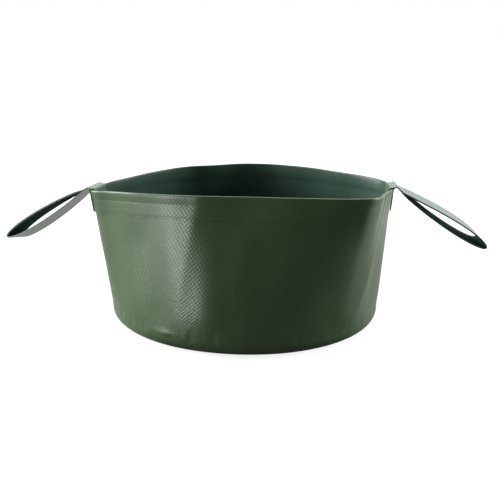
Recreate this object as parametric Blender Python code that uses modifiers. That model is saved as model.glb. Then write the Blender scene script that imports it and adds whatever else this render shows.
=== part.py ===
"""Collapsible camp washbasin: a soft bowl of coated fabric with a folded rim band and two strap handles.

Metres, +Z up. The origin is the centre of the base, on the ground. The front is -Y, and the handles
stand out at -X and +X. The bowl stands open, as it does when it holds water.
"""

import math

import bmesh
import bpy
import numpy as np

# Fabric
fabric_thickness = 0.0007
seam_gap = 0.0003

# Base, and the wall's lower edge that turns in under it
base_diameter = 0.271
base_edge_radius = 0.010
turned_in_width = 0.012

# Lip of the rim: the line that the folded band's top follows
lip_half_span = 0.152
lip_half_depth = 0.120
lip_height = 0.140
# Each point is across, deep and high, in shares of the three sizes above, anticlockwise from the right handle
lip_shares = (
    (0.953, -0.180, 0.938),
    (0.953, 0.185, 0.934),
    (0.871, 0.364, 0.936),
    (0.681, 0.612, 0.936),
    (0.408, 0.858, 0.943),
    (0.041, 1.000, 0.946),
    (-0.259, 0.917, 0.943),
    (-0.403, 0.883, 0.940),
    (-0.609, 0.688, 0.936),
    (-0.791, 0.363, 0.936),
    (-0.903, 0.140, 0.936),
    (-0.952, -0.100, 0.940),
    (-0.969, -0.245, 0.943),
    (-0.836, -0.396, 0.961),
    (-0.564, -0.637, 0.986),
    (-0.287, -0.769, 0.996),
    (0.041, -0.833, 1.000),
    (0.391, -0.900, 1.003),
    (0.679, -0.915, 1.003),
    (0.777, -0.869, 1.000),
    (0.861, -0.560, 0.979),
)
# Where the base's edge stands below the first point of the lip
base_turn = math.radians(-9)
# The soft base is drawn in a little at its front left and swells at its front right
base_swells = (
    {"share": -0.020, "middle": math.radians(-132), "half_width": math.radians(70)},
    {"share": 0.022, "middle": math.radians(-50), "half_width": math.radians(60)},
)
# How far up the wall its upright start at the base still shows
upright_start_share = 0.4

# Lap weld that closes the wall's strip into a ring, at the back's soft crease
lap_width = 0.020
lap_fade = 0.012
lap_place_share = 0.335
lap_edge = 0.0005

# Band folded over the wall's upper edge
band_outside_height = 0.020
band_inside_height = 0.013

# Handles: one strap each, both ends welded to the rim
strap_width = 0.032
strap_end_length = 0.020
neck_length = 0.007
loop_length = 0.113
loop_opening = 0.0097
# How the loop's two sides part: 1 is straight from the fold, and more is slower
loop_parting_power = 1.05
# Fold line of a handle, outward from the strap's outer end and above the lip
fold_outset = 0.0010
fold_rise = 0.0018
# Bare length left at each side of a fold line
fold_clearance = 0.0004

# Places along the lip, and how each handle hangs: down, towards the back, and its twist at the tip
handles = {
    "right": {
        "place_share": 0.022,
        "droop": math.radians(33.2),
        "sweep": math.radians(18.5),
        "tip_twist": math.radians(10),
        "tip_tilt": math.radians(16),
    },
    "left": {
        "place_share": 0.525,
        "droop": math.radians(31.5),
        "sweep": math.radians(12.5),
        "tip_twist": math.radians(4),
        "tip_tilt": math.radians(-13),
    },
}

# Fineness of the lofts
lip_stations = 96
corner_steps = 4
wall_steps = 7
leg_steps = 3
strap_columns = 5
neck_rows = 4
loop_rows = 44
disc_sides = 96
samples_per_span = 40
# Step along the lip for the wall's slope, as a share of its length
slope_step_share = 0.00025

# Colours
olive = (0.085, 0.125, 0.070, 1.0)
olive_inside = (0.050, 0.085, 0.058, 1.0)
olive_strap = (0.070, 0.110, 0.075, 1.0)


def fabric(name, colour, roughness):
    """Coated fabric: a smooth, slightly glossy skin."""
    material = bpy.data.materials.new(name)
    material.use_nodes = True
    shader = material.node_tree.nodes["Principled BSDF"]
    shader.inputs["Base Color"].default_value = colour
    shader.inputs["Roughness"].default_value = roughness
    shader.inputs["Metallic"].default_value = 0.0
    return material


def unit(vectors):
    """Vectors of length one, along the last axis."""
    return vectors / np.linalg.norm(vectors, axis=-1, keepdims=True)


def lip_line():
    """A smooth closed line through the lip's points, and the length along it at each of its own points."""
    shape = bpy.data.curves.new("lip_guide", "CURVE")
    shape.dimensions = "3D"
    shape.resolution_u = samples_per_span
    spline = shape.splines.new("BEZIER")
    spline.bezier_points.add(len(lip_shares) - 1)
    spline.use_cyclic_u = True
    for point, (across, deep, high) in zip(spline.bezier_points, lip_shares):
        point.co = (across * lip_half_span, deep * lip_half_depth, high * lip_height)
        point.handle_left_type = "AUTO"
        point.handle_right_type = "AUTO"
    guide = bpy.data.objects.new("lip_guide", shape)
    guides.objects.link(guide)
    guide.hide_render = True
    guide.display_type = "WIRE"
    bpy.context.view_layer.update()
    mesh = bpy.data.meshes.new_from_object(guide.evaluated_get(bpy.context.evaluated_depsgraph_get()))
    points = np.array([vertex.co for vertex in mesh.vertices])
    bpy.data.meshes.remove(mesh)
    closed = np.vstack([points, points[:1]])
    steps = np.linalg.norm(np.diff(closed, axis=0), axis=1)
    return closed, np.concatenate([[0.0], np.cumsum(steps)])


class Wall:
    """The wall's inner face as a function: a place along the lip and a distance down from its upper edge."""

    def __init__(self):
        self.line, self.along = lip_line()
        self.around = self.along[-1]
        # The folded band lies over the wall's upper edge, so the edge is this much below the lip
        self.edge_drop = fabric_thickness + seam_gap

    def lip(self, places):
        """Points on the lip at these distances along it."""
        wrapped = np.mod(places, self.around)
        return np.stack([np.interp(wrapped, self.along, self.line[:, k]) for k in range(3)], axis=-1)

    def foot(self, places):
        """Outward vectors of the base at these places, of about unit length: equal lengths of fabric above and below."""
        turn = base_turn + 2 * math.pi * np.asarray(places) / self.around
        reach = 1
        for swell in base_swells:
            apart = np.abs(np.angle(np.exp(1j * (turn - swell["middle"])))) / swell["half_width"]
            reach = reach + swell["share"] * np.cos(math.pi / 2 * np.minimum(apart, 1.0)) ** 2
        return np.stack([np.cos(turn) * reach, np.sin(turn) * reach, np.zeros_like(turn)], axis=-1)

    def start(self, places):
        """Where the wall leaves the rounded edge of the base."""
        inner_radius = base_diameter / 2 - fabric_thickness
        return self.foot(places) * inner_radius + np.array([0.0, 0.0, base_edge_radius])

    def top(self, places):
        """The wall's upper edge."""
        return self.lip(places) - np.array([0.0, 0.0, self.edge_drop])

    def rise(self, places, share):
        """The inner face, from 0 at the base's edge to 1 at the upper edge and straight on above it."""
        start = self.start(places)
        chord = self.top(places) - start
        length = np.linalg.norm(chord, axis=-1, keepdims=True)
        upright = np.array([0.0, 0.0, 1.0]) * length * upright_start_share
        share = np.asarray(share)[..., None]
        t = np.clip(share, 0.0, 1.0)
        # A curve that starts upright and ends along the chord
        curve = start + upright * (t - 2 * t**2 + t**3) + chord * (2 * t**2 - t**3)
        return curve + chord * (share - t)

    def down(self, places, depth):
        """The inner face at these distances down from the upper edge; a negative distance is above it."""
        reach = np.linalg.norm(self.top(places) - self.start(places), axis=-1)
        return self.rise(places, 1 - depth / reach)

    def outward(self, places, depth):
        """Unit vectors square to the wall, pointing out."""
        step = self.around * slope_step_share
        beside = self.down(places + step, depth) - self.down(places - step, depth)
        above = self.down(places, depth - step) - self.down(places, depth + step)
        return unit(np.cross(beside, above))

    def beside(self, places, depth, out):
        """Points this far out from the inner face, or inside it where the distance is negative."""
        places, depth, out = np.broadcast_arrays(places, depth, out)
        depth = depth.astype(float)
        return self.down(places, depth) + self.outward(places, depth) * out[..., None]

    def strap_places(self, side):
        """Places along the lip across a handle's strap."""
        middle = handles[side]["place_share"] * self.around
        return middle + np.linspace(-0.5, 0.5, strap_columns) * strap_width

    def stations(self, more=()):
        """Even places along the lip, moved where needed to fall on the straps' columns and on any more given."""
        spacing = self.around / lip_stations
        fixed = [np.mod(self.strap_places(side), self.around) for side in handles]
        fixed = np.concatenate([*fixed, np.asarray(more, float)])
        places = np.linspace(0.0, self.around, lip_stations, endpoint=False)
        apart = np.abs(places[:, None] - fixed[None, :])
        apart = np.minimum(apart, self.around - apart)
        return np.sort(np.concatenate([places[np.min(apart, axis=1) > spacing / 2], fixed]))

    def lap(self):
        """Where the lap weld starts and ends along the lip."""
        start = lap_place_share * self.around
        return start, start + lap_width

    def bump(self, places):
        """How far the lap stands out under the rim band, at most the fabric's thickness."""
        start, end = self.lap()
        rise = np.interp(places, [start - lap_fade, start], [0.0, 1.0])
        fall = np.interp(places, [end + lap_fade / 2, end + lap_fade * 3 / 2], [1.0, 0.0])
        return fabric_thickness * np.minimum(rise, fall)


def new_collection(name):
    """A collection of its own in the scene."""
    collection = bpy.data.collections.new(name)
    bpy.context.scene.collection.children.link(collection)
    return collection


def new_frame(name, location, parent=None):
    """An empty that carries moving pieces, on their joint's axis."""
    frame = bpy.data.objects.new(name, None)
    parts.objects.link(frame)
    frame.empty_display_size = strap_width
    frame.location = location if parent is None else np.asarray(location) - world_of[parent.name]
    frame.parent = parent
    world_of[name] = np.asarray(location, float)
    return frame


def sheet(name, rows, material, frame, ring=False, side=0.0, layers=1, doubled=None):
    """Fabric as a loft through rows of points, thickened. Side is 1 where it grows towards its front face."""
    rows = np.asarray(rows) - world_of[frame.name]
    mesh = bpy.data.meshes.new(name)
    shape = bmesh.new()
    grid = [[shape.verts.new(point) for point in row] for row in rows]
    columns = len(rows[0])
    for low, high in zip(grid, grid[1:]):
        for i in range(columns if ring else columns - 1):
            j = (i + 1) % columns
            shape.faces.new((low[i], low[j], high[j], high[i]))
    shape.to_mesh(mesh)
    shape.free()
    piece = bpy.data.objects.new(name, mesh)
    parts.objects.link(piece)
    piece.parent = frame
    mesh.materials.append(material)
    thick = piece.modifiers.new("Fabric", "SOLIDIFY")
    thick.thickness = layers * fabric_thickness
    thick.offset = side
    thick.use_even_offset = True
    thick.use_rim = True
    if doubled is not None:
        # Two layers where a point is doubled, and half of that thickness elsewhere
        group = piece.vertex_groups.new(name="layers")
        for index, two in enumerate(np.ravel(doubled)):
            group.add([index], 1.0 if two else 0.5, "REPLACE")
        thick.thickness = 2 * fabric_thickness
        thick.vertex_group = group.name
    mesh.shade_smooth()
    return piece


def side_wall(wall, material, frame):
    """One strip: turned in under the base, up to the rim, and closed by a lap weld at the back."""
    start, end = wall.lap()
    places = wall.stations((start - lap_edge, start, end, end + lap_edge))
    # Outside the lap's free edge the strip steps up on its other end; inside, it drops off that end again
    lapped = (places >= start) & (places <= end)
    step = np.interp(places, [end, end + lap_edge, end + lap_fade], [0.0, 1.0, 0.0], left=0.0, right=0.0)
    out = fabric_thickness * step
    inner_radius = base_diameter / 2 - fabric_thickness
    bend = base_edge_radius - fabric_thickness
    foot = wall.foot(places)
    rows = [foot * (inner_radius - bend - turned_in_width) + np.array([0.0, 0.0, fabric_thickness])]
    for k in range(corner_steps):
        turn = math.pi / 2 * k / corner_steps
        radius = inner_radius - bend + bend * math.sin(turn)
        height = base_edge_radius - bend * math.cos(turn)
        rows.append(foot * radius + np.array([0.0, 0.0, height]))
    for k in range(wall_steps + 1):
        share = k / wall_steps
        depth = (1 - share) * np.linalg.norm(wall.top(places) - wall.start(places), axis=-1)
        rows.append(wall.rise(places, np.full(len(places), share)) + wall.outward(places, depth) * out[:, None])
    doubled = np.zeros((len(rows), len(places)), bool)
    doubled[1 + corner_steps :, :] = lapped
    return sheet("side_wall", rows, material, frame, ring=True, side=1.0, doubled=doubled)


def base_disc(wall, material, frame):
    """A flat round sheet that lies on the wall's turned-in edge."""
    floor = fabric_thickness + seam_gap
    bend = base_edge_radius - fabric_thickness
    inner_radius = base_diameter / 2 - fabric_thickness
    # The wall's rounded edge starts with a facet that rises away from the turned-in edge
    facet = math.pi / 2 / corner_steps
    reach = min(seam_gap / math.tan(facet / 2), bend * math.sin(facet))
    radius = inner_radius - bend + reach - seam_gap
    rim = wall.foot(np.linspace(0.0, wall.around, disc_sides, endpoint=False)) * radius
    mesh = bpy.data.meshes.new("base_disc")
    shape = bmesh.new()
    shape.faces.new([shape.verts.new((x, y, floor)) for x, y, _ in rim])
    shape.to_mesh(mesh)
    shape.free()
    disc = bpy.data.objects.new("base_disc", mesh)
    parts.objects.link(disc)
    disc.parent = frame
    mesh.materials.append(material)
    thick = disc.modifiers.new("Fabric", "SOLIDIFY")
    thick.thickness = fabric_thickness
    thick.offset = 1.0
    return disc


def rim_band(wall, material, frame):
    """A strip folded over the wall's upper edge: a short leg inside, a longer one outside."""
    places = wall.stations()
    inside = -seam_gap
    outside = fabric_thickness + seam_gap + wall.bump(places)
    corner = seam_gap
    section = []
    for k in range(leg_steps):
        section.append((band_inside_height * (1 - k / leg_steps), inside))
    section.append((0.0, inside))
    section.append((-corner, 0.0))
    section.append((-corner, outside - corner))
    section.append((0.0, outside))
    for k in range(1, leg_steps + 1):
        section.append((band_outside_height * k / leg_steps, outside))
    rows = [wall.beside(places, depth, out) for depth, out in section]
    return sheet("rim_band", rows, material, frame, ring=True, side=-1.0)


class Hanger:
    """Where a handle meets the rim: its place along the lip and its two fold lines."""

    def __init__(self, wall, side):
        self.side = side
        self.wall = wall
        sizes = handles[side]
        self.places = wall.strap_places(side)
        ends = wall.lip(self.places[[0, -1]])
        line = wall.lip(self.places)
        near, far = (0, -1) if ends[0][1] < ends[1][1] else (-1, 0)
        # Along the fold, from the front to the back
        self.across = unit(line[far] - line[near])
        if near != 0:
            self.places = self.places[::-1]
        chord = (line[0] + line[-1]) / 2
        up = np.array([0.0, 0.0, 1.0])
        out = unit(np.cross(self.across, up))
        self.out = out if out @ chord > 0 else -out
        self.up = unit(np.cross(self.out, self.across))
        if self.up[2] < 0:
            self.up = -self.up
        bulge = np.max((line - chord) @ self.out)
        # The outer face of the strap's outer end, from the wall's inner face: wall, band and strap
        self.end_face = 3 * fabric_thickness + 2 * seam_gap
        reach = bulge + self.end_face + fold_outset
        self.fold = chord + self.out * reach + self.up * fold_rise
        self.dip = self.out * math.cos(sizes["droop"]) - self.up * math.sin(sizes["droop"])
        self.knuckle = self.fold + self.dip * neck_length
        level = self.out * math.cos(sizes["sweep"]) + self.across * math.sin(sizes["sweep"])
        self.along = level * math.cos(sizes["droop"]) - self.up * math.sin(sizes["droop"])
        self.over = unit(np.cross(self.along, self.across))
        if self.over[2] < 0:
            self.over = -self.over
        self.widths = np.linspace(-0.5, 0.5, strap_columns) * strap_width

    def fold_row(self, out, up):
        """A straight row along the fold line, moved out and up from it."""
        return self.fold + self.across * self.widths[:, None] + self.out * out + self.up * up


def inner_end(hanger, material, frame):
    """The strap's end that is welded inside the rim and comes up over the lip."""
    layer = fabric_thickness + seam_gap
    middle = -(seam_gap + layer + fabric_thickness / 2)
    top = -(layer + seam_gap + fabric_thickness / 2)
    corner = fabric_thickness
    section = [(strap_end_length * (1 - k / leg_steps), middle) for k in range(leg_steps)]
    section += [(0.0, middle), (top + corner, middle), (top, middle + corner), (top, 0.0), (top, layer)]
    rows = [hanger.wall.beside(hanger.places, depth, out) for depth, out in section]
    rest = fold_rise - seam_gap - fabric_thickness / 2
    rows.append(hanger.fold_row(-fold_outset, -rest))
    return sheet(f"{hanger.side}_handle_inner_end", rows, material, frame)


def outer_end(hanger, material, frame):
    """The strap's other end, welded on the outside of the rim band."""
    middle = hanger.end_face - fabric_thickness / 2
    depths = np.linspace(strap_end_length, -hanger.wall.edge_drop, leg_steps + 1)
    rows = [hanger.wall.beside(hanger.places, depth, middle) for depth in depths]
    return sheet(f"{hanger.side}_handle_outer_end", rows, material, frame)


def neck(hanger, material, frame):
    """The first stretch past the rim, where the strap's two layers are welded together."""
    reach = neck_length - 2 * fold_clearance
    rows = []
    for k in range(neck_rows):
        distance = fold_clearance + reach * k / (neck_rows - 1)
        rows.append(hanger.fold + hanger.dip * distance + hanger.across * hanger.widths[:, None])
    return sheet(f"{hanger.side}_handle_neck", rows, material, frame, layers=2)


def loop(hanger, material, frame):
    """The hand loop: the strap runs out, round the tip and back, wider open towards the tip."""
    sizes = handles[hanger.side]
    half_gap = (fabric_thickness + seam_gap) / 2
    shares = np.linspace(0.0, 1.0, samples_per_span)
    scale = (loop_opening + fabric_thickness) / 2 / np.max(shares**loop_parting_power * np.sqrt(1 - shares))
    rows = []
    for k in range(loop_rows + 1):
        turn = 2 * math.pi * k / loop_rows
        half_sine = math.sin(turn / 2)
        out_share = half_sine**2
        side_share = math.cos(turn / 2)
        rise = side_share * (half_gap + scale * out_share**loop_parting_power)
        distance = fold_clearance + (loop_length - fold_clearance) * out_share
        centre = hanger.knuckle + hanger.along * distance + hanger.over * rise
        twist = sizes["tip_twist"] * out_share
        tilt = sizes["tip_tilt"] * half_sine
        width = hanger.across * math.cos(twist) - hanger.out * math.sin(twist)
        width = width * math.cos(tilt) + hanger.up * math.sin(tilt)
        rows.append(centre + width * hanger.widths[:, None])
    return sheet(f"{hanger.side}_handle_loop", rows, material, frame)


def handle(wall, side, rim_frame, material):
    """A strap in four stretches: two ends on the rim, the neck on the first fold and the loop on the second."""
    hanger = Hanger(wall, side)
    swing_frame = new_frame(f"{side}_handle_fold", hanger.fold, rim_frame)
    loop_frame = new_frame(f"{side}_loop_fold", hanger.knuckle, swing_frame)
    inner_end(hanger, material, rim_frame)
    outer_end(hanger, material, rim_frame)
    neck(hanger, material, swing_frame)
    loop(hanger, material, loop_frame)
    for name, place in (("lip fold", hanger.fold), ("loop fold", hanger.knuckle)):
        print(side, name, [round(float(x), 5) for x in place], "axis", [round(float(x), 5) for x in hanger.across])
    slant = math.atan2(-float(hanger.along @ hanger.up), float(hanger.along @ hanger.out))
    print(side, "loop hangs", round(math.degrees(slant), 2), "degrees below level")


for old in list(bpy.data.objects):
    bpy.data.objects.remove(old)

world_of = {}
parts = new_collection("camp_washbasin")
guides = new_collection("guides")
guides.hide_render = True

wall_fabric = fabric("wall_fabric", olive, 0.42)
floor_fabric = fabric("floor_fabric", olive_inside, 0.45)
strap_fabric = fabric("strap_fabric", olive_strap, 0.40)

base_frame = new_frame("base_frame", (0.0, 0.0, 0.0))
rim_frame = new_frame("rim_frame", (0.0, 0.0, 0.0), base_frame)

wall = Wall()
side_wall(wall, wall_fabric, base_frame)
base_disc(wall, floor_fabric, base_frame)
rim_band(wall, wall_fabric, rim_frame)
for side in handles:
    handle(wall, side, rim_frame, strap_fabric)
print("lip", round(wall.around, 4), "m round; base", round(math.pi * base_diameter, 4), "m round")
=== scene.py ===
"""Collapsible camp washbasin, dressed: coated woven fabric, a welded hem, a turned-in foot and two soft straps.

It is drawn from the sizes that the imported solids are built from, and its cloth takes the place of all of them.
Lengths are in metres, +Z is up and the front is -Y.
"""

import math

import bmesh
import bpy
import numpy as np
from mathutils import Matrix, Quaternion, Vector


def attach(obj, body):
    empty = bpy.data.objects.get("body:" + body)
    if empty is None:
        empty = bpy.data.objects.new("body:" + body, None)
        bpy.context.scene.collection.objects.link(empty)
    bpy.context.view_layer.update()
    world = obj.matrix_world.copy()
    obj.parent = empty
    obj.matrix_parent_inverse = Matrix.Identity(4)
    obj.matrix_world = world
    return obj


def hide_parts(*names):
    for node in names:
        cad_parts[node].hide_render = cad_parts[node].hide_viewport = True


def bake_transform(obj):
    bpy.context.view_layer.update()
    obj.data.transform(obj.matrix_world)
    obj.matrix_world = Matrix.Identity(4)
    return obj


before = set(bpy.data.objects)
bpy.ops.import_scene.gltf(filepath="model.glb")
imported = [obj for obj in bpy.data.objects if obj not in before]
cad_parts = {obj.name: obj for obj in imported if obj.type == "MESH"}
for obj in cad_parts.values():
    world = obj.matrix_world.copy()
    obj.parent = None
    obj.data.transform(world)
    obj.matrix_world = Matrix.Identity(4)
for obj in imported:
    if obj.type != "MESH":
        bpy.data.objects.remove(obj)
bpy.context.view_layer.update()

# Sizes that the solids are built from
FABRIC = 0.0007
SEAM_GAP = 0.0003
BASE_DIAMETER = 0.271
BASE_EDGE_RADIUS = 0.010
TURNED_IN = 0.012
LIP_HALF_SPAN = 0.152
LIP_HALF_DEPTH = 0.120
LIP_HEIGHT = 0.140
LIP_SHARES = (
    (0.953, -0.180, 0.938),
    (0.953, 0.185, 0.934),
    (0.871, 0.364, 0.936),
    (0.681, 0.612, 0.936),
    (0.408, 0.858, 0.943),
    (0.041, 1.000, 0.946),
    (-0.259, 0.917, 0.943),
    (-0.403, 0.883, 0.940),
    (-0.609, 0.688, 0.936),
    (-0.791, 0.363, 0.936),
    (-0.903, 0.140, 0.936),
    (-0.952, -0.100, 0.940),
    (-0.969, -0.245, 0.943),
    (-0.836, -0.396, 0.961),
    (-0.564, -0.637, 0.986),
    (-0.287, -0.769, 0.996),
    (0.041, -0.833, 1.000),
    (0.391, -0.900, 1.003),
    (0.679, -0.915, 1.003),
    (0.777, -0.869, 1.000),
    (0.861, -0.560, 0.979),
)
BASE_TURN = math.radians(-9)
BASE_SWELLS = (
    {"share": -0.020, "middle": math.radians(-132), "half_width": math.radians(70)},
    {"share": 0.022, "middle": math.radians(-50), "half_width": math.radians(60)},
)
UPRIGHT_START = 0.4
LAP_WIDTH = 0.020
LAP_FADE = 0.012
LAP_PLACE = 0.335
HEM_OUTSIDE = 0.020
HEM_INSIDE = 0.013
STRAP_WIDTH = 0.032
STRAP_END = 0.020
NECK = 0.007
LOOP = 0.113
FOLD_OUTSET = 0.0010
FOLD_RISE = 0.0018
# The wall's inner face at the base, the inside of the rounded foot, and the wall's upper edge below the lip
INNER_RADIUS = BASE_DIAMETER / 2 - FABRIC
FOOT_RADIUS = BASE_EDGE_RADIUS - FABRIC
EDGE_DROP = FABRIC + SEAM_GAP
UP = np.array([0.0, 0.0, 1.0])

# Each handle's place as a share of the lip's length, its angles in degrees, and its loop's sag and opening.
# A smaller parting makes the two layers part sooner past the neck.
HANDLES = {
    "right": {
        "place": 0.022,
        "droop": 33.2,
        "sweep": 18.5,
        "twist": 10.0,
        "tilt": 9.0,
        "sag": 0.0017,
        "opening": 0.0105,
        "parting": 1.0,
    },
    "left": {
        "place": 0.525,
        "droop": 31.5,
        "sweep": 12.5,
        "twist": 4.0,
        "tilt": -11.0,
        "sag": 0.0,
        "opening": 0.0104,
        "parting": 0.85,
    },
}
# A strap's loop is drawn as thick as a doubled strap, and each layer at the rim a little thinner than the fabric
STRAP_THICKNESS = 0.0015
STRAP_LAYER = FABRIC * 0.96
# Over this length the strap turns from the neck's direction to the loop's
KNUCKLE = 0.008

# Soft upright bends of the wall: the share of the lip's length, and the drift from there towards the foot
BENDS = (
    {"place": 0.702, "drift": -0.008, "height": 0.0013, "half_width": 0.011},
    {"place": 0.945, "drift": -0.040, "height": 0.0014, "half_width": 0.0055},
)
# In half widths: a bend's reach at the foot, what that loses towards the lip, and the run of its tails
BEND_REACH = 1.05
BEND_NARROWING = 0.25
BEND_TAIL = 5.0
# Heights of the standing wall's broad and fine waves, and of the gathers at its foot
SWAY_BROAD = 0.0006
SWAY_FINE = 0.00022
GATHERS = 0.00022
# A small pucker just above the foot at the front left
PUCKER_PLACE = 0.683
PUCKER_HEIGHT = 0.010
PUCKER_LENGTH = 0.010
PUCKER_WIDTH = 0.0042
PUCKER_RISE = 0.0007

# Past the lap weld's end the wall stands out by half a layer, and most at this distance
LAP_PEAK = 0.0030
# Columns of points stand on each edge of the lap and this far beside it, and no others come as near as LAP_CLEAR
LAP_EDGE = 0.0004
LAP_CLEAR = 0.0006

# Weld lines of the hem, down from its lip, with the half width of each, and how deep they press the cloth
WELD_HIGH = 0.0075
WELD_HIGH_WIDTH = 0.00045
WELD_LOW = 0.0185
WELD_LOW_WIDTH = 0.0005
WELD_PRESS = 0.00008
WELD_SINK = 0.00004
# The hem's cloth puffs up between its welds, its free edge waves, and its lip counts this long on the UV map
HEM_PUFF_INSIDE = 0.0003
HEM_PRESS_INSIDE = 0.0002
HEM_PUFF_OUTSIDE = 0.00010
HEM_WAVE = 0.00016
HEM_LIP_LENGTH = 0.004
# Rows of the hem: down from the lip inside, round the lip, and spans of rows down the outside
HEM_DOWNS_INSIDE = (HEM_INSIDE, HEM_INSIDE - 0.0006, 0.0115, 0.0095, 0.0075, 0.0055, 0.0035, 0.0015)
HEM_LIP_ROWS = 11
HEM_SPANS_OUTSIDE = (
    (0.0015, 0.0060, 4),
    (WELD_HIGH - 0.0010, WELD_HIGH + 0.0010, 5),
    (0.0100, 0.0165, 4),
    (WELD_LOW - 0.0008, WELD_LOW + 0.0008, 5),
    (HEM_OUTSIDE - 0.0003, HEM_OUTSIDE, 2),
)

# The base cloth's slight swell, crown and deepest dip, and how deep its weld ring is pressed
FLOOR_SWELL = 0.00035
FLOOR_CROWN = 0.0004
FLOOR_DIP = 0.0001
FLOOR_WELD = 0.00018
# Shares of the base's radius: spans of rows from its small middle hole to its edge, and the weld ring's two edges
BASE_SPANS = ((0.004, 0.88, 26), (0.892, 1.0, 12))
BASE_WELD_IN = (0.905, 0.915)
BASE_WELD_OUT = (0.985, 0.995)
BASE_HOLE = 0.001

# Points round the bowl and round its base
AROUND_STEPS = 480
BASE_STEPS = 192
# Rows of the wall's turned-in edge, rounded foot and standing part, across a strap and round its loop
TURNED_ROWS = 5
FOOT_ROWS = 11
WALL_ROWS = 61
STRAP_COLUMNS = 13
LOOP_ROWS = 141
# Rows down a strap's welded ends, and rows made between each two of them
END_ROWS = (STRAP_END, 0.015, 0.010, 0.005)
BETWEEN = 4
# Edges that turn by more than this are sharp
SHARP = math.radians(50)


# Shader node groups

# Heights in the weave: threads that lie over, and the crowns of all threads
OVER_SHARE = 0.5
CROWN_SHARE = 0.12
# How the cloths show it: dusty patches' size and share, the threads below, and the height of dents
PATCH_SIZE = 0.055
FILM_SHARE = 0.55
THREAD_SHADE = 0.72
THREAD_SHARE = 0.45
THREAD_ROUGHNESS = 0.06
DENT_HEIGHT = 0.0006


def new_group(name, inputs, outputs):
    """An empty shader group with its sockets: inputs are (name, kind, default), outputs (name, kind)."""
    group = bpy.data.node_groups.new(name, "ShaderNodeTree")
    for label, kind, default in inputs:
        socket = group.interface.new_socket(label, in_out="INPUT", socket_type="NodeSocket" + kind)
        if default is not None:
            socket.default_value = default
    for label, kind in outputs:
        group.interface.new_socket(label, in_out="OUTPUT", socket_type="NodeSocket" + kind)
    return group, group.nodes.new("NodeGroupInput"), group.nodes.new("NodeGroupOutput")


def maths(tree, operation, *values):
    """A Math node whose inputs are sockets or plain numbers. Returns its output."""
    node = tree.nodes.new("ShaderNodeMath")
    node.operation = operation
    for socket, value in zip(node.inputs, values):
        if isinstance(value, (int, float)):
            socket.default_value = value
        else:
            tree.links.new(value, socket)
    return node.outputs[0]


def ranged(tree, value, low, high, to_low, to_high, smooth=False):
    """A Map Range node on a socket. Returns its output."""
    node = tree.nodes.new("ShaderNodeMapRange")
    node.interpolation_type = "SMOOTHSTEP" if smooth else "LINEAR"
    tree.links.new(value, node.inputs["Value"])
    for label, number in (("From Min", low), ("From Max", high), ("To Min", to_low), ("To Max", to_high)):
        node.inputs[label].default_value = number
    return node.outputs["Result"]


def noise(tree, place, **numbers):
    """A Noise Texture node on a socket, with these inputs set. Returns its value."""
    node = tree.nodes.new("ShaderNodeTexNoise")
    for label, number in numbers.items():
        node.inputs[label].default_value = number
    tree.links.new(place, node.inputs["Vector"])
    return node.outputs["Fac"]


def weave_group():
    """Plain weave that shows through a smooth coating: over one and under one, so its crowns run in diagonal lines."""
    group, take, give = new_group(
        "coated_weave",
        [("Place", "Vector", None), ("Pitch", "Float", 0.0022)],
        [("Height", "Float"), ("Thread", "Float")],
    )
    split = group.nodes.new("ShaderNodeSeparateXYZ")
    group.links.new(take.outputs["Place"], split.inputs[0])
    waves = []
    for axis in ("X", "Y"):
        cycles = maths(group, "DIVIDE", split.outputs[axis], take.outputs["Pitch"])
        waves.append(maths(group, "SINE", maths(group, "MULTIPLY", cycles, math.pi)))
    over = maths(group, "MULTIPLY", waves[0], waves[1])
    crowns = maths(group, "ADD", *(maths(group, "MULTIPLY", wave, wave) for wave in waves))
    raised = maths(group, "MULTIPLY", over, OVER_SHARE)
    group.links.new(maths(group, "ADD", raised, maths(group, "MULTIPLY", crowns, CROWN_SHARE)), give.inputs["Height"])
    group.links.new(maths(group, "MULTIPLY_ADD", over, 0.5, 0.5), give.inputs["Thread"])
    return group


def handling_group():
    """Uneven cloth: broad soft dents, small creases from folding, and a dry film of dust in patches."""
    group, take, give = new_group(
        "folded_and_handled",
        [("Place", "Vector", None), ("Size", "Float", 0.05)],
        [("Dents", "Float"), ("Creases", "Float"), ("Film", "Float")],
    )
    place = group.nodes.new("ShaderNodeVectorMath")
    place.operation = "SCALE"
    group.links.new(take.outputs["Place"], place.inputs[0])
    group.links.new(maths(group, "DIVIDE", 1.0, take.outputs["Size"]), place.inputs["Scale"])
    dents = noise(group, place.outputs[0], Scale=1.0, Detail=1.5)
    bent = noise(group, place.outputs[0], Scale=0.6, Detail=3.0, Distortion=1.2)
    ridge = maths(group, "ABSOLUTE", maths(group, "SUBTRACT", bent, 0.5))
    film = noise(group, place.outputs[0], Scale=0.35, Detail=6.0, Roughness=0.62)
    group.links.new(dents, give.inputs["Dents"])
    group.links.new(ranged(group, ridge, 0.0, 0.012, 1.0, 0.0, smooth=True), give.inputs["Creases"])
    group.links.new(ranged(group, film, 0.35, 0.75, 0.0, 1.0, smooth=True), give.inputs["Film"])
    return group


def mix_colours(tree, share, first, second):
    """A colour Mix node between two sockets or plain colours. Returns its output."""
    node = tree.nodes.new("ShaderNodeMix")
    node.data_type = "RGBA"
    tree.links.new(share, node.inputs["Factor"])
    for label, value in (("A", first), ("B", second)):
        socket = next(s for s in node.inputs if s.name == label and s.type == "RGBA")
        if isinstance(value, tuple):
            socket.default_value = value
        else:
            tree.links.new(value, socket)
    return next(s for s in node.outputs if s.type == "RGBA")


WEAVE = weave_group()
HANDLING = handling_group()


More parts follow.
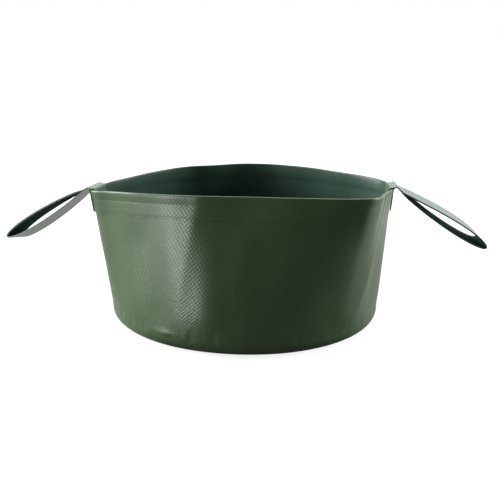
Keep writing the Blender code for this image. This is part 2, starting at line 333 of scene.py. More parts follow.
def coated_fabric(name, colour, film_colour, pitch, weave_height, rough, crease_height, specular):
    """Woven cloth under a semi-gloss plastic coat, with creases, dents and a dry film. The UV map is in metres."""
    material = bpy.data.materials.new(name)
    material.use_nodes = True
    tree = material.node_tree
    shader = tree.nodes["Principled BSDF"]
    shader.inputs["Specular IOR Level"].default_value = specular
    uv = tree.nodes.new("ShaderNodeUVMap")
    uv.uv_map = "cloth"
    weave = tree.nodes.new("ShaderNodeGroup")
    weave.node_tree = WEAVE
    weave.inputs["Pitch"].default_value = pitch
    tree.links.new(uv.outputs[0], weave.inputs["Place"])
    spot = tree.nodes.new("ShaderNodeTexCoord")
    handled = tree.nodes.new("ShaderNodeGroup")
    handled.node_tree = HANDLING
    handled.inputs["Size"].default_value = PATCH_SIZE
    tree.links.new(spot.outputs["Object"], handled.inputs["Place"])
    shaded = mix_colours(tree, maths(tree, "MULTIPLY", handled.outputs["Film"], FILM_SHARE), colour, film_colour)
    darker = tuple(THREAD_SHADE * c for c in colour[:3]) + (1.0,)
    woven = mix_colours(tree, ranged(tree, weave.outputs["Thread"], 0.0, 1.0, 0.0, THREAD_SHARE), shaded, darker)
    tree.links.new(woven, shader.inputs["Base Color"])
    dull = ranged(tree, handled.outputs["Film"], 0.0, 1.0, *rough)
    dull = maths(tree, "MULTIPLY_ADD", weave.outputs["Thread"], THREAD_ROUGHNESS, dull)
    tree.links.new(dull, shader.inputs["Roughness"])
    heights = maths(tree, "MULTIPLY", weave.outputs["Height"], weave_height)
    heights = maths(tree, "MULTIPLY_ADD", handled.outputs["Creases"], -crease_height, heights)
    heights = maths(tree, "MULTIPLY_ADD", handled.outputs["Dents"], DENT_HEIGHT, heights)
    bump = tree.nodes.new("ShaderNodeBump")
    bump.inputs["Distance"].default_value = 1.0
    bump.inputs["Strength"].default_value = 1.0
    tree.links.new(heights, bump.inputs["Height"])
    tree.links.new(bump.outputs[0], shader.inputs["Normal"])
    return material


# The bowl's surface


def lip_line():
    """A smooth closed line through the lip's points, and the length along it at each of its own points."""
    shape = bpy.data.curves.new("lip_guide", "CURVE")
    shape.dimensions = "3D"
    shape.resolution_u = 40
    spline = shape.splines.new("BEZIER")
    spline.bezier_points.add(len(LIP_SHARES) - 1)
    spline.use_cyclic_u = True
    for point, (across, deep, high) in zip(spline.bezier_points, LIP_SHARES):
        point.co = (across * LIP_HALF_SPAN, deep * LIP_HALF_DEPTH, high * LIP_HEIGHT)
        point.handle_left_type = "AUTO"
        point.handle_right_type = "AUTO"
    guide = bpy.data.objects.new("lip_guide", shape)
    bpy.context.scene.collection.objects.link(guide)
    bpy.context.view_layer.update()
    mesh = bpy.data.meshes.new_from_object(guide.evaluated_get(bpy.context.evaluated_depsgraph_get()))
    points = np.array([vertex.co for vertex in mesh.vertices])
    bpy.data.meshes.remove(mesh)
    bpy.data.objects.remove(guide)
    bpy.data.curves.remove(shape)
    closed = np.vstack([points, points[:1]])
    return closed, np.concatenate([[0.0], np.cumsum(np.linalg.norm(np.diff(closed, axis=0), axis=1))])


LIP, LIP_ALONG = lip_line()
AROUND = LIP_ALONG[-1]
LAP_START = LAP_PLACE * AROUND
LAP_END = LAP_START + LAP_WIDTH


def unit(vectors):
    """Vectors of length one, along the last axis."""
    return vectors / np.linalg.norm(vectors, axis=-1, keepdims=True)


def smooth(values, low, high):
    """0 below the first value and 1 above the second, eased between."""
    t = np.clip((values - low) / (high - low), 0.0, 1.0)
    return t * t * (3 - 2 * t)


def lip(places):
    """Points on the lip at these distances along it."""
    wrapped = np.mod(places, AROUND)
    return np.stack([np.interp(wrapped, LIP_ALONG, LIP[:, k]) for k in range(3)], axis=-1)


def foot(places):
    """Outward vectors of the base at these places, longer or shorter than one where it swells or draws in."""
    turn = BASE_TURN + 2 * math.pi * np.asarray(places) / AROUND
    reach = 1
    for swell in BASE_SWELLS:
        apart = np.abs(np.angle(np.exp(1j * (turn - swell["middle"])))) / swell["half_width"]
        reach = reach + swell["share"] * np.cos(math.pi / 2 * np.minimum(apart, 1.0)) ** 2
    return np.stack([np.cos(turn) * reach, np.sin(turn) * reach, np.zeros_like(turn)], axis=-1)


def wall_start(places):
    """Points where the standing wall begins, above the rounded foot."""
    return foot(places) * INNER_RADIUS + UP * BASE_EDGE_RADIUS


def wall_top(places):
    """Points on the wall's upper edge, under the rolled hem."""
    return lip(places) - UP * EDGE_DROP


def wall_reach(places):
    """Straight lengths from the wall's start to its upper edge."""
    return np.linalg.norm(wall_top(places) - wall_start(places), axis=-1)


def wall_share(places, depth):
    """0 at the standing wall's start and 1 at its upper edge."""
    return np.clip(1 - depth / wall_reach(places), 0.0, 1.0)


def wall_at(places, depth):
    """The smooth wall's inner face at these distances down from its upper edge."""
    start = wall_start(places)
    chord = wall_top(places) - start
    reach = np.linalg.norm(chord, axis=-1)
    share = (1 - depth / reach)[..., None]
    t = np.clip(share, 0.0, 1.0)
    upright = UP * reach[..., None] * UPRIGHT_START
    return start + upright * (t - 2 * t**2 + t**3) + chord * (2 * t**2 - t**3) + chord * (share - t)


def wall_outward(places, depth):
    """Unit vectors square to the smooth wall, pointing out."""
    step = AROUND / 4000
    beside = wall_at(places + step, depth) - wall_at(places - step, depth)
    above = wall_at(places, depth - step) - wall_at(places, depth + step)
    return unit(np.cross(beside, above))


def bend(places, depth):
    """How far the wall stands out at its two soft upright bends, which a folded bowl keeps."""
    share = wall_share(places, depth)
    fade = smooth(share, -0.1, 0.5)
    out = 0.0
    for kept in BENDS:
        middle = kept["place"] * AROUND + kept["drift"] * (1 - share)
        sharp = kept["half_width"] * (BEND_REACH - BEND_NARROWING * share)
        away = (np.mod(places - middle + AROUND / 2, AROUND) - AROUND / 2) / sharp
        out = out + kept["height"] * fade * (1.0 / np.sqrt(1 + away**2)) * np.exp(-((away / BEND_TAIL) ** 2))
    return out


def sway(places, depth):
    """Soft unevenness of the standing wall below the hem, the gathers at its foot and the pucker."""
    a = 2 * math.pi * places / AROUND
    share = wall_share(places, depth)
    broad = np.sin(7 * a + 0.6 + 2.1 * share) + 0.7 * np.sin(11 * a + 2.0 - 3.0 * share)
    fine = np.sin(23 * a + 1.1 + 5.0 * share) * np.sin(3 * a + 0.4)
    window = smooth(share, 0.02, 0.3) * (1 - smooth(share, 0.66, 0.86))
    gathers = np.sin(61 * a) * np.sin(17 * a + 0.5) * smooth(share, -0.01, 0.04) * (1 - smooth(share, 0.05, 0.22))
    beside = (places - PUCKER_PLACE * AROUND) / PUCKER_LENGTH
    above = (share * wall_reach(places) - PUCKER_HEIGHT) / PUCKER_WIDTH
    pucker = PUCKER_RISE * np.exp(-(beside**2) - above**2)
    return window * (SWAY_BROAD * broad + SWAY_FINE * fine) + GATHERS * gathers + pucker


def wall_beside(places, depth, out):
    """Points this far out from the wall's inner face, which bends and sways."""
    places, depth, out = np.broadcast_arrays(places, depth, out)
    depth = depth.astype(float)
    moved = out + bend(places, depth) + sway(places, depth)
    return wall_at(places, depth) + wall_outward(places, depth) * moved[..., None]


# Mesh making


def linked(name, data):
    """A new object for a mesh, a light or a camera, in the scene."""
    piece = bpy.data.objects.new(name, data)
    bpy.context.scene.collection.objects.link(piece)
    return piece


def shell(name, inner, outer, uv, material, ring=False, inside=None, inside_rows=None):
    """A closed sheet between two grids of points. UVs are one pair for each point of the grid, in metres.

    The second material, if one is given, goes on the inner grid's faces, or on all faces of the first rows.
    """
    inner, outer, uv = (np.asarray(grid, float) for grid in (inner, outer, uv))
    rows, columns = inner.shape[:2]
    points = np.concatenate([inner.reshape(-1, 3), outer.reshape(-1, 3)])
    count = rows * columns
    spans = columns if ring else columns - 1
    faces, pairs = [], []

    def add(face, place, turned=False):
        faces.append(face[::-1] if turned else face)
        pairs.append(place[::-1] if turned else place)

    def corner(row, column):
        return row * columns + column % columns

    for row in range(rows - 1):
        for column in range(spans):
            place = [(row, column), (row, column + 1), (row + 1, column + 1), (row + 1, column)]
            face = tuple(corner(*spot) for spot in place)
            add(tuple(count + k for k in face), place)
            add(face, place, turned=True)
    for row, turned in ((0, False), (rows - 1, True)):
        for column in range(spans):
            a, b = corner(row, column), corner(row, column + 1)
            place = [(row, column), (row, column + 1), (row, column + 1), (row, column)]
            add((a, b, count + b, count + a), place, turned)
    if not ring:
        for column, turned in ((0, True), (columns - 1, False)):
            for row in range(rows - 1):
                a, b = corner(row, column), corner(row + 1, column)
                place = [(row, column), (row + 1, column), (row + 1, column), (row, column)]
                add((a, b, count + b, count + a), place, turned)
    mesh = bpy.data.meshes.new(name)
    mesh.from_pydata(points.tolist(), [], faces)
    layer = mesh.uv_layers.new(name="cloth")
    flat = []
    for place in pairs:
        for row, column in place:
            u, v = uv[row, column % columns]
            if ring and column == columns:
                u += AROUND
            flat.extend((u, v))
    layer.data.foreach_set("uv", np.array(flat, np.float32))
    mesh.materials.append(material)
    if inside:
        mesh.materials.append(inside)
        if inside_rows:
            within = np.array([max(row for row, _ in place) < inside_rows for place in pairs])
        else:
            within = np.array([max(face) < count for face in faces])
        mesh.polygons.foreach_set("material_index", within.astype(np.int32))
    mesh.shade_smooth()
    mesh.set_sharp_from_angle(angle=SHARP)
    mesh.update()
    return linked(name, mesh)


def both_faces(middle, thickness):
    """Two grids, half the thickness to each side of a grid's points."""
    middle = np.asarray(middle, float)
    along = np.gradient(middle, axis=0)
    across = np.gradient(middle, axis=1)
    square = unit(np.cross(across, along)) * thickness / 2
    return middle - square, middle + square


def joined(name, pieces):
    """One object from several of one material, with their UV maps."""
    shape = bmesh.new()
    material = pieces[0].data.materials[0]
    for piece in pieces:
        shape.from_mesh(piece.data)
        bpy.data.objects.remove(piece)
    mesh = bpy.data.meshes.new(name)
    shape.to_mesh(mesh)
    shape.free()
    mesh.materials.append(material)
    mesh.set_sharp_from_angle(angle=SHARP)
    return linked(name, mesh)


# Pieces


def wall_skin(material, inside):
    """The wall strip: its turned-in edge, the rounded foot and the standing wall with its lap weld."""
    edges = np.array([LAP_START - LAP_EDGE, LAP_START, LAP_END, LAP_END + LAP_EDGE])
    places = np.linspace(0.0, AROUND, AROUND_STEPS, endpoint=False)
    clear = np.min(np.abs(places[:, None] - edges[None, :]), axis=1) > LAP_CLEAR
    places = np.sort(np.concatenate([places[clear], edges]))
    outward = foot(places)
    middle = INNER_RADIUS - FOOT_RADIUS
    # Rows below the standing wall: radius, height, turn from flat and length from where the foot starts to turn
    below = [(middle + reach, FABRIC, 0.0, reach) for reach in np.linspace(-TURNED_IN, 0.0, TURNED_ROWS)[:-1]]
    for turn in np.linspace(0.0, math.pi / 2, FOOT_ROWS)[:-1]:
        radius = middle + FOOT_RADIUS * math.sin(turn)
        below.append((radius, BASE_EDGE_RADIUS - FOOT_RADIUS * math.cos(turn), turn, FOOT_RADIUS * turn))
    inner, outer, uv = [], [], []
    for radius, height, turn, length in below:
        point = outward * radius + UP * height
        square = unit(outward) * math.sin(turn) - UP * math.cos(turn)
        inner.append(point)
        outer.append(point + square * FABRIC)
        uv.append(np.stack([places, np.full(len(places), -length)], axis=-1))
    lapped = (places >= LAP_START) & (places <= LAP_END)
    step = np.interp(places, [LAP_END, LAP_END + LAP_PEAK, LAP_END + LAP_FADE], [0.0, 0.5, 0.0], left=0.0, right=0.0)
    for share in np.linspace(0.0, 1.0, WALL_ROWS):
        depth = (1 - share) * wall_reach(places)
        out = FABRIC * step * smooth(share, 0.0, 0.05)
        layers = FABRIC * (1 + lapped * (share > 0))
        inner.append(wall_beside(places, depth, out))
        outer.append(wall_beside(places, depth, out + layers))
        uv.append(np.stack([places, -(FOOT_RADIUS * math.pi / 2 + wall_reach(places) - depth)], axis=-1))
    return shell("wall_skin", inner, outer, uv, material, ring=True, inside=inside)


def base_skin(material):
    """The round base: a sheet that swells a little, with a pressed weld ring near its edge."""
    facet = math.pi / 8
    reach = min(SEAM_GAP / math.tan(facet / 2), FOOT_RADIUS * math.sin(facet))
    radius = INNER_RADIUS - FOOT_RADIUS + reach - SEAM_GAP
    floor = FABRIC + SEAM_GAP
    places = np.linspace(0.0, AROUND, BASE_STEPS, endpoint=False)
    outward = foot(places)
    a = 2 * math.pi * places / AROUND
    low, high, uv = [], [], []
    for share in np.concatenate([np.linspace(*span) for span in BASE_SPANS]):
        point = outward * radius * share
        weld = smooth(share, *BASE_WELD_IN) * (1 - smooth(share, *BASE_WELD_OUT))
        swell = FLOOR_SWELL * (np.sin(3 * a + 5 * share) + np.sin(5 * a - 4 * share))
        swell = swell * smooth(share, 0.1, 0.4) * (1 - smooth(share, 0.75, 0.9))
        lift = UP * (floor + FLOOR_CROWN * (1 - share**2) + np.maximum(swell, -FLOOR_DIP))[:, None]
        low.append(point + lift)
        high.append(point + lift + UP * (FABRIC - FLOOR_WELD * weld))
        uv.append(point[:, :2])
    piece = shell("base_skin", low, high, uv, material, ring=True)
    # The sheet's small middle hole is closed with one face below and one above
    shape = bmesh.new()
    shape.from_mesh(piece.data)
    hole = [f for f in shape.faces if all(v.co.xy.length < BASE_HOLE for v in f.verts)]
    bmesh.ops.delete(shape, geom=hole, context="FACES")
    rings = [e for e in shape.edges if e.is_boundary]
    bmesh.ops.contextual_create(shape, geom=[e for e in rings if e.verts[0].co.z < floor + 0.0006])
    bmesh.ops.contextual_create(shape, geom=[e for e in rings if e.is_valid and e.is_boundary])
    shape.to_mesh(piece.data)
    shape.free()
    return piece


def hem(material, inside):
    """The rim's folded band: a rolled lip, two weld lines outside, and a free edge outside and inside."""
    places = np.linspace(0.0, AROUND, AROUND_STEPS, endpoint=False)
    lap = FABRIC * np.minimum(
        np.interp(places, [LAP_START - LAP_FADE, LAP_START], [0.0, 1.0]),
        np.interp(places, [LAP_END + LAP_FADE / 2, LAP_END + LAP_FADE * 3 / 2], [1.0, 0.0]),
    )
    a = 2 * math.pi * places / AROUND
    wavy = HEM_WAVE * (np.sin(37 * a) * np.sin(5 * a + 1.0) + 0.6 * np.sin(71 * a + 2.0))
    near, far, uv = [], [], []

    def add(depths, near_out, far_out, length):
        near.append(wall_beside(places, depths[0], near_out))
        far.append(wall_beside(places, depths[1], far_out))
        uv.append(np.stack([places, np.full(len(places), length)], axis=-1))

    for down in HEM_DOWNS_INSIDE:
        puff = HEM_PUFF_INSIDE * smooth(down, 0.0, 0.004) * (1 - smooth(down, 0.0095, 0.0120))
        press = HEM_PRESS_INSIDE * smooth(down, 0.0105, 0.0125)
        out = -SEAM_GAP + press - puff
        add((down, down), out, out - FABRIC, HEM_INSIDE - down)
    middle = (FABRIC + lap) / 2
    rolled = middle + SEAM_GAP
    for turn in np.linspace(0.0, math.pi, HEM_LIP_ROWS):
        add(
            (-SEAM_GAP * math.sin(turn), -(SEAM_GAP + FABRIC) * math.sin(turn)),
            middle - rolled * math.cos(turn),
            middle - (rolled + FABRIC) * math.cos(turn),
            HEM_INSIDE + HEM_LIP_LENGTH * turn / math.pi,
        )
    for down in np.concatenate([np.linspace(*span) for span in HEM_SPANS_OUTSIDE]):
        pressed = smooth(down, 0.0, WELD_HIGH)
        flush = smooth(down, WELD_LOW, HEM_OUTSIDE)
        puff = HEM_PUFF_OUTSIDE * math.sin(math.pi * min(down / WELD_HIGH, 1.0))
        weld = math.exp(-(((down - WELD_HIGH) / WELD_HIGH_WIDTH) ** 2))
        weld += math.exp(-(((down - WELD_LOW) / WELD_LOW_WIDTH) ** 2))
        out = FABRIC + lap + SEAM_GAP * (1 - 0.7 * pressed) + puff - WELD_SINK * weld
        out = out + np.maximum(wavy * flush, -WELD_SINK)
        cloth = FABRIC * (1 - 0.45 * pressed - 0.25 * flush)
        add((down, down), out, out + cloth - WELD_PRESS * weld, HEM_INSIDE + HEM_LIP_LENGTH + down)
    inside_rows = len(HEM_DOWNS_INSIDE) + HEM_LIP_ROWS // 2
    return shell("rim_hem", far, near, uv, material, ring=True, inside=inside, inside_rows=inside_rows)


class Strap:
    """A handle's place on the rim and the run of its strap."""

    def __init__(self, side):
        sizes = HANDLES[side]
        angle = {name: math.radians(sizes[name]) for name in ("droop", "sweep", "twist", "tilt")}
        self.side = side
        self.angle = angle
        self.sag = sizes["sag"]
        self.opening = sizes["opening"]
        self.parting = sizes["parting"]
        middle = sizes["place"] * AROUND
        shares = np.linspace(-0.5, 0.5, STRAP_COLUMNS)
        self.places = middle + shares * STRAP_WIDTH
        seats = lip(middle + np.linspace(-0.5, 0.5, 5) * STRAP_WIDTH)
        if seats[0][1] > seats[-1][1]:
            self.places = self.places[::-1]
            seats = seats[::-1]
        self.across = unit(seats[-1] - seats[0])
        chord = (seats[0] + seats[-1]) / 2
        out = unit(np.cross(self.across, UP))
        self.out = out if out @ chord > 0 else -out
        up = unit(np.cross(self.out, self.across))
        self.up = up if up[2] > 0 else -up
        bulge = np.max((seats - chord) @ self.out)
        self.end_face = 3 * FABRIC + 2 * SEAM_GAP
        self.fold = chord + self.out * (bulge + self.end_face + FOLD_OUTSET) + self.up * FOLD_RISE
        self.dip = self.out * math.cos(angle["droop"]) - self.up * math.sin(angle["droop"])
        self.knuckle = self.fold + self.dip * NECK
        level = self.out * math.cos(angle["sweep"]) + self.across * math.sin(angle["sweep"])
        self.along = level * math.cos(angle["droop"]) - self.up * math.sin(angle["droop"])
        over = unit(np.cross(self.along, self.across))
        self.over = over if over[2] > 0 else -over
        self.widths = shares * STRAP_WIDTH

    def run(self, distance):
        """The strap's middle line past the fold, turning softly from the neck's direction to the loop's."""
        t = np.clip((distance - (NECK - KNUCKLE / 2)) / KNUCKLE, 0.0, 1.0)
        beyond = KNUCKLE * (t**3 - t**4 / 2) + max(distance - NECK - KNUCKLE / 2, 0.0)
        sag = self.sag * smooth(distance, 0.0, 1.6 * NECK) * (1 - smooth(distance, NECK, LOOP))
        return self.fold + self.dip * (distance - beyond) + self.along * beyond - self.up * sag

    def row(self, distance, rise, share=0.0, half_sine=0.0):
        """A row of points across the strap at this distance past the fold."""
        twist = self.angle["twist"] * share
        tilt = self.angle["tilt"] * half_sine
        width = self.across * math.cos(twist) - self.out * math.sin(twist)
        width = width * math.cos(tilt) + self.up * math.sin(tilt)
        return self.run(distance) + self.over * rise + width * self.widths[:, None]


def through(rows, steps):
    """More rows on a smooth curve through the given ones."""
    rows = np.asarray(rows, float)
    made = []
    for k in range(len(rows) - 1):
        before = rows[max(k - 1, 0)]
        first, second = rows[k], rows[k + 1]
        after = rows[min(k + 2, len(rows) - 1)]
        for t in np.arange(steps) / steps:
            rise = (second - before) * t
            turn = (2 * before - 5 * first + 4 * second - after) * t**2
            made.append(0.5 * (2 * first + rise + turn + (3 * first - before - 3 * second + after) * t**3))
    made.append(rows[-1])
    return made


def strap_uv(rows):
    """UVs in metres for a grid: across the strap, and along it."""
    rows = np.asarray(rows)
    middle = rows[:, rows.shape[1] // 2]
    along = np.concatenate([[0.0], np.cumsum(np.linalg.norm(np.diff(middle, axis=0), axis=1))])
    widths = np.linspace(0.0, STRAP_WIDTH, rows.shape[1])
    return np.stack(np.broadcast_arrays(widths[None, :], along[:, None]), axis=-1)


def strap_root(strap, material):
    """The welded ends inside and outside the rim, up to the middle of the neck, where both layers are one."""
    layer = FABRIC + SEAM_GAP
    half = FABRIC / 2
    inside = -(SEAM_GAP + layer + half)
    top = -(layer + SEAM_GAP + half)
    inner = [wall_beside(strap.places, depth, inside) for depth in (*END_ROWS, 0.001)]
    # Over the lip: depths and distances out
    for depth, out in ((top + 0.0006, inside + 0.0003), (top, inside / 2), (top, 0.0003)):
        inner.append(wall_beside(strap.places, depth, out))
    rest = FOLD_RISE - SEAM_GAP - half
    lifted = strap.fold + strap.across * strap.widths[:, None]
    inner.append(lifted - strap.out * (FOLD_OUTSET + 0.0004) - strap.up * (rest - 0.0003))
    inner += [strap.row(distance, half) for distance in (0.0006, NECK / 2)]
    outside = strap.end_face - half
    outer = [wall_beside(strap.places, depth, outside) for depth in (*END_ROWS, 0.0015)]
    outer.append(wall_beside(strap.places, -0.0006, outside + 0.0002))
    outer += [strap.row(distance, -half) for distance in (0.0008, NECK / 2)]
    pieces = []
    for name, rows in (("inner", inner), ("outer", outer)):
        fine = through(rows, BETWEEN)
        low, high = both_faces(fine, STRAP_LAYER)
        pieces.append(shell(name, low, high, strap_uv(fine), material))
    return joined(f"{strap.side}_strap_root", pieces)


def strap_loop(strap, material, reverse):
    """The strap's free run: out from the neck, round the tip and back."""
    half = FABRIC / 2
    shares = np.linspace(0.0, 1.0, 400)
    scale = (strap.opening + FABRIC) / 2 / np.max(shares**strap.parting * np.sqrt(1 - shares))
    necks = list(np.linspace(NECK / 2, NECK, 3)[:-1])
    rows = [strap.row(distance, half) for distance in necks]
    distances = list(necks)
    for turn in np.linspace(0.0, 2 * math.pi, LOOP_ROWS):
        half_sine = math.sin(turn / 2)
        share = half_sine**2
        rise = math.cos(turn / 2) * (half + scale * share**strap.parting)
        rows.append(strap.row(NECK + LOOP * share, rise, share, half_sine))
        distances.append(NECK + LOOP * share)
    rows += [strap.row(distance, -half) for distance in necks[::-1]]
    distances += necks[::-1]
    low, high = both_faces(rows, STRAP_LAYER)
    # Thicker from the neck outwards, as a doubled strap is
    thick = np.array([smooth(distance, NECK / 2, NECK * 2.5) for distance in distances])[:, None, None]
    grow = 1 + (STRAP_THICKNESS / FABRIC - 1) * thick
    middle = (low + high) / 2
    low, high = middle + (low - middle) * grow, middle + (high - middle) * grow
    # The grid's inner side lies outside the loop on the right, and inside it on the left
    outside, inside = (reverse, material) if strap.side == "right" else (material, reverse)
    return shell(f"{strap.side}_strap_loop", low, high, strap_uv(rows), outside, inside=inside)


CLOTHS = {
    "olive_coated_cloth": {
        "colour": (0.054, 0.103, 0.040, 1.0),
        "film_colour": (0.065, 0.113, 0.051, 1.0),
        "pitch": 0.0019,
        "weave_height": 0.00006,
        "rough": (0.26, 0.34),
        "crease_height": 0.00003,
        "specular": 0.60,
    },
    # The coat's inner face: bluer than the outer face, and darkened as painted shade of the bowl's inside
    "olive_inner_cloth_painted_shade": {
        "colour": (0.040, 0.084, 0.061, 1.0),
        "film_colour": (0.048, 0.095, 0.071, 1.0),
        "pitch": 0.0019,
        "weave_height": 0.00006,
        "rough": (0.30, 0.40),
        "crease_height": 0.00003,
        "specular": 0.34,
    },
    "olive_base_cloth": {
        "colour": (0.038, 0.080, 0.058, 1.0),
        "film_colour": (0.050, 0.092, 0.070, 1.0),
        "pitch": 0.0019,
        "weave_height": 0.00006,
        "rough": (0.32, 0.45),
        "crease_height": 0.00010,
        "specular": 0.5,
    },
    "olive_strap_cloth": {
        "colour": (0.110, 0.165, 0.125, 1.0),
        "film_colour": (0.125, 0.180, 0.140, 1.0),
        "pitch": 0.0016,
        "weave_height": 0.00004,
        "rough": (0.20, 0.30),
        "crease_height": 0.00004,
        "specular": 1.0,
    },
    "olive_strap_reverse": {
        "colour": (0.085, 0.165, 0.138, 1.0),
        "film_colour": (0.098, 0.178, 0.150, 1.0),
        "pitch": 0.0016,
        "weave_height": 0.00004,
        "rough": (0.80, 0.90),
        "crease_height": 0.00004,
        "specular": 0.08,
    },
}
cloths = {name: coated_fabric(name, **look) for name, look in CLOTHS.items()}
wall_cloth, shaded_inside_cloth, base_cloth, strap_cloth, strap_reverse = cloths.values()

skin = wall_skin(wall_cloth, shaded_inside_cloth)
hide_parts("side_wall")
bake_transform(skin)

base = base_skin(base_cloth)
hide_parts("base_disc")
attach(base, "base")

band = hem(wall_cloth, shaded_inside_cloth)
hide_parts("rim_band")
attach(band, "rim")

for side in HANDLES:
    strap = Strap(side)
    root = strap_root(strap, strap_cloth)
    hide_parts(f"{side}_handle_inner_end", f"{side}_handle_outer_end", f"{side}_handle_neck")
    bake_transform(root)
    loop = strap_loop(strap, strap_cloth, strap_reverse)
    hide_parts(f"{side}_handle_loop")
    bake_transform(loop)


# Stage

# The dark part of the room lies in front, between these two directions round the object
DARK_LEFT = math.radians(-137)
DARK_RIGHT = math.radians(-30)
FLOOR_EDGE = math.radians(16)
ROOM_EDGE = math.radians(12)
# The floor that the camera sees: its grey, and the light added to it from near the object to further out, where
# the lamps' light fails
SEEN_GREY = (0.30, 0.30, 0.30, 1.0)
SEEN_REACH = (0.30, 0.70)
SEEN_LIFT = (0.84, 1.0)
# The floor that the object gets light from, and sees in its coat: there it glows, with a painted shadow near the
# object, and never quite black
BOUNCE_GREY = (0.26, 0.26, 0.26, 1.0)
MIRRORED_REACH = (0.20, 0.60)
MIRRORED_LIGHT = (0.42, 0.93)
MIRRORED_LEAST = 0.07
# The room's light outside the dark part, and its least: in reflections, and otherwise
SHINING = (0.97, 0.03)
EVEN = (0.20, 0.02)
ROOM_TINT = (0.94, 1.0, 1.0, 1.0)
WHITE = (1.0, 1.0, 1.0, 1.0)


def dark_front(tree, vector, edge):
    """0 in the dark part of the room, a sector in front of the object, and 1 to the sides and behind."""
    split = tree.nodes.new("ShaderNodeSeparateXYZ")
    tree.links.new(vector, split.inputs[0])
    azimuth = maths(tree, "ARCTAN2", split.outputs["Y"], split.outputs["X"])
    left = maths(tree, "WRAP", maths(tree, "SUBTRACT", DARK_LEFT, azimuth), math.pi, -math.pi)
    right = maths(tree, "WRAP", maths(tree, "SUBTRACT", azimuth, DARK_RIGHT), math.pi, -math.pi)
    nearest = maths(tree, "MAXIMUM", left, right)
    return ranged(tree, nearest, -edge, edge, 0.0, 1.0, smooth=True)


def mix_shaders(tree, share, first, second):
    """A Mix Shader node between two shader nodes, by a socket."""
    mix = tree.nodes.new("ShaderNodeMixShader")
    tree.links.new(share, mix.inputs["Fac"])
    tree.links.new(first.outputs[0], mix.inputs[1])
    tree.links.new(second.outputs[0], mix.inputs[2])
    return mix


def shade(tree, kind, colour, strength=None):
    """A plain shader node of this kind and colour, and of this strength where it has one."""
    node = tree.nodes.new(kind)
    node.inputs["Color"].default_value = colour
    if strength is not None:
        node.inputs["Strength"].default_value = strength
    return node


def seen_by_camera(tree, path):
    """1 on camera rays, also through something clear, and 0 on all others."""
    return maths(tree, "MAXIMUM", path.outputs["Is Camera Ray"], path.outputs["Is Transmission Ray"])


def plain_floor():
    """A pale floor: white to the camera with a soft shadow; in reflections it glows, darker in front as painted shade,
    where the room is dim.
    """
    bpy.ops.mesh.primitive_plane_add(size=8.0, location=(0.0, 0.0, -0.0002))
    floor = bpy.context.object
    floor.name = "floor"
    material = bpy.data.materials.new("pale_floor")
    material.use_nodes = True
    tree = material.node_tree
    tree.nodes.clear()
    output = tree.nodes.new("ShaderNodeOutputMaterial")
    path = tree.nodes.new("ShaderNodeLightPath")
    place = tree.nodes.new("ShaderNodeNewGeometry")
    far = tree.nodes.new("ShaderNodeVectorMath")
    far.operation = "LENGTH"
    tree.links.new(place.outputs["Position"], far.inputs[0])
    distance = far.outputs["Value"]
    lift = shade(tree, "ShaderNodeEmission", WHITE)
    tree.links.new(ranged(tree, distance, *SEEN_REACH, *SEEN_LIFT, smooth=True), lift.inputs["Strength"])
    seen = tree.nodes.new("ShaderNodeAddShader")
    tree.links.new(shade(tree, "ShaderNodeBsdfDiffuse", SEEN_GREY).outputs[0], seen.inputs[0])
    tree.links.new(lift.outputs[0], seen.inputs[1])
    bounce = shade(tree, "ShaderNodeBsdfDiffuse", BOUNCE_GREY)
    mirrored = shade(tree, "ShaderNodeEmission", WHITE)
    # Seen in reflections the floor glows: painted shade in the dim front, and a painted shadow near the object
    side = dark_front(tree, place.outputs["Position"], FLOOR_EDGE)
    open_floor = ranged(tree, distance, *MIRRORED_REACH, *MIRRORED_LIGHT, smooth=True)
    tree.links.new(maths(tree, "MULTIPLY_ADD", side, open_floor, MIRRORED_LEAST), mirrored.inputs["Strength"])
    other = mix_shaders(tree, path.outputs["Is Glossy Ray"], bounce, mirrored)
    mix = mix_shaders(tree, seen_by_camera(tree, path), other, seen)
    tree.links.new(mix.outputs[0], output.inputs["Surface"])
    floor.data.materials.append(material)


def room_light():
    """White behind and beside the object, also in reflections, a dark room in front, and little light of its own."""
    world = bpy.data.worlds.new("studio")
    bpy.context.scene.world = world
    world.use_nodes = True
    tree = world.node_tree
    tree.nodes.clear()
    output = tree.nodes.new("ShaderNodeOutputWorld")
    path = tree.nodes.new("ShaderNodeLightPath")
    where = tree.nodes.new("ShaderNodeTexCoord")
    seen = shade(tree, "ShaderNodeBackground", WHITE, 1.0)
    dim = shade(tree, "ShaderNodeBackground", ROOM_TINT)
    side = dark_front(tree, where.outputs["Generated"], ROOM_EDGE)
    blend = tree.nodes.new("ShaderNodeMix")
    tree.links.new(path.outputs["Is Glossy Ray"], blend.inputs["Factor"])
    tree.links.new(maths(tree, "MULTIPLY_ADD", side, *EVEN), blend.inputs["A"])
    tree.links.new(maths(tree, "MULTIPLY_ADD", side, *SHINING), blend.inputs["B"])
    tree.links.new(blend.outputs["Result"], dim.inputs["Strength"])
    mix = mix_shaders(tree, seen_by_camera(tree, path), dim, seen)
    tree.links.new(mix.outputs[0], output.inputs["Surface"])


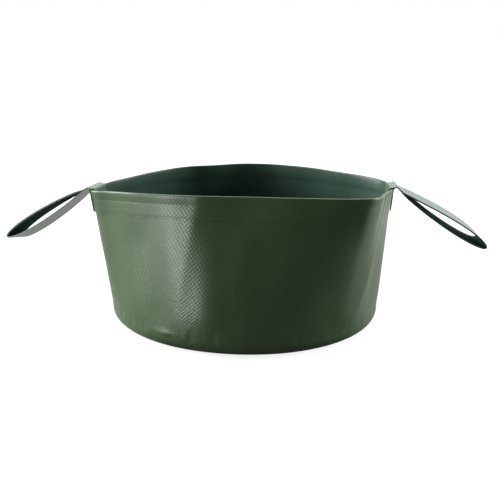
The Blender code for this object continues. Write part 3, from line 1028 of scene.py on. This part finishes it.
# Soft lights, each from a place towards its aim, with its roll from upright in degrees
LAMPS = {
    "left_softbox": {
        "place": (-1.33, 0.28, 0.60),
        "aim": (0.0, 0.0, 0.08),
        "width": 0.9,
        "height": 0.9,
        "watts": 40.0,
    },
    "left_front_strip": {
        "place": (-0.99, -0.82, 0.29),
        "aim": (-0.04, -0.08, 0.09),
        "width": 0.24,
        "height": 0.42,
        "watts": 3.1,
        "roll": -25.0,
    },
    "left_front_glow": {
        "place": (-1.33, -0.45, 0.20),
        "aim": (-0.06, -0.06, 0.09),
        "width": 0.55,
        "height": 0.26,
        "watts": 1.0,
    },
    "back_softbox": {
        "place": (0.1, 1.3, 1.25),
        "aim": (0.0, 0.0, 0.10),
        "width": 1.4,
        "height": 1.0,
        "watts": 9.0,
    },
    "right_softbox": {
        "place": (1.30, 0.16, 0.50),
        "aim": (0.05, 0.0, 0.08),
        "width": 0.6,
        "height": 0.8,
        "watts": 19.0,
    },
}


def soft_lamp(name, place, aim, width, height, watts, roll=0.0):
    """A rectangular soft light."""
    data = bpy.data.lights.new(name, "AREA")
    data.shape = "RECTANGLE"
    data.size = width
    data.size_y = height
    data.energy = watts
    lamp = linked(name, data)
    lamp.location = place
    turn = (Vector(place) - Vector(aim)).to_track_quat("Z", "Y") @ Quaternion((0.0, 0.0, 1.0), math.radians(roll))
    lamp.rotation_euler = turn.to_euler()


plain_floor()
room_light()
for name, settings in LAMPS.items():
    soft_lamp(name, **settings)

# Camera
CAMERA_RISE = math.radians(15.333)
CAMERA_DISTANCE = 0.9
AIM = Vector((0.0062, 0.0, 0.06341))
back = Vector((0.0, -math.cos(CAMERA_RISE), math.sin(CAMERA_RISE)))
right = Vector((1.0, 0.0, 0.0))
lens = bpy.data.cameras.new("camera")
lens.sensor_width = 36.0
lens.lens = 63.18
lens.clip_start = 0.01
camera = linked("camera", lens)
turned = Matrix((right, back.cross(right), back)).transposed().to_4x4()
turned.translation = AIM + back * CAMERA_DISTANCE
camera.matrix_world = turned
bpy.context.scene.camera = camera
bpy.context.scene.view_settings.view_transform = "Standard"

bpy.context.view_layer.update()
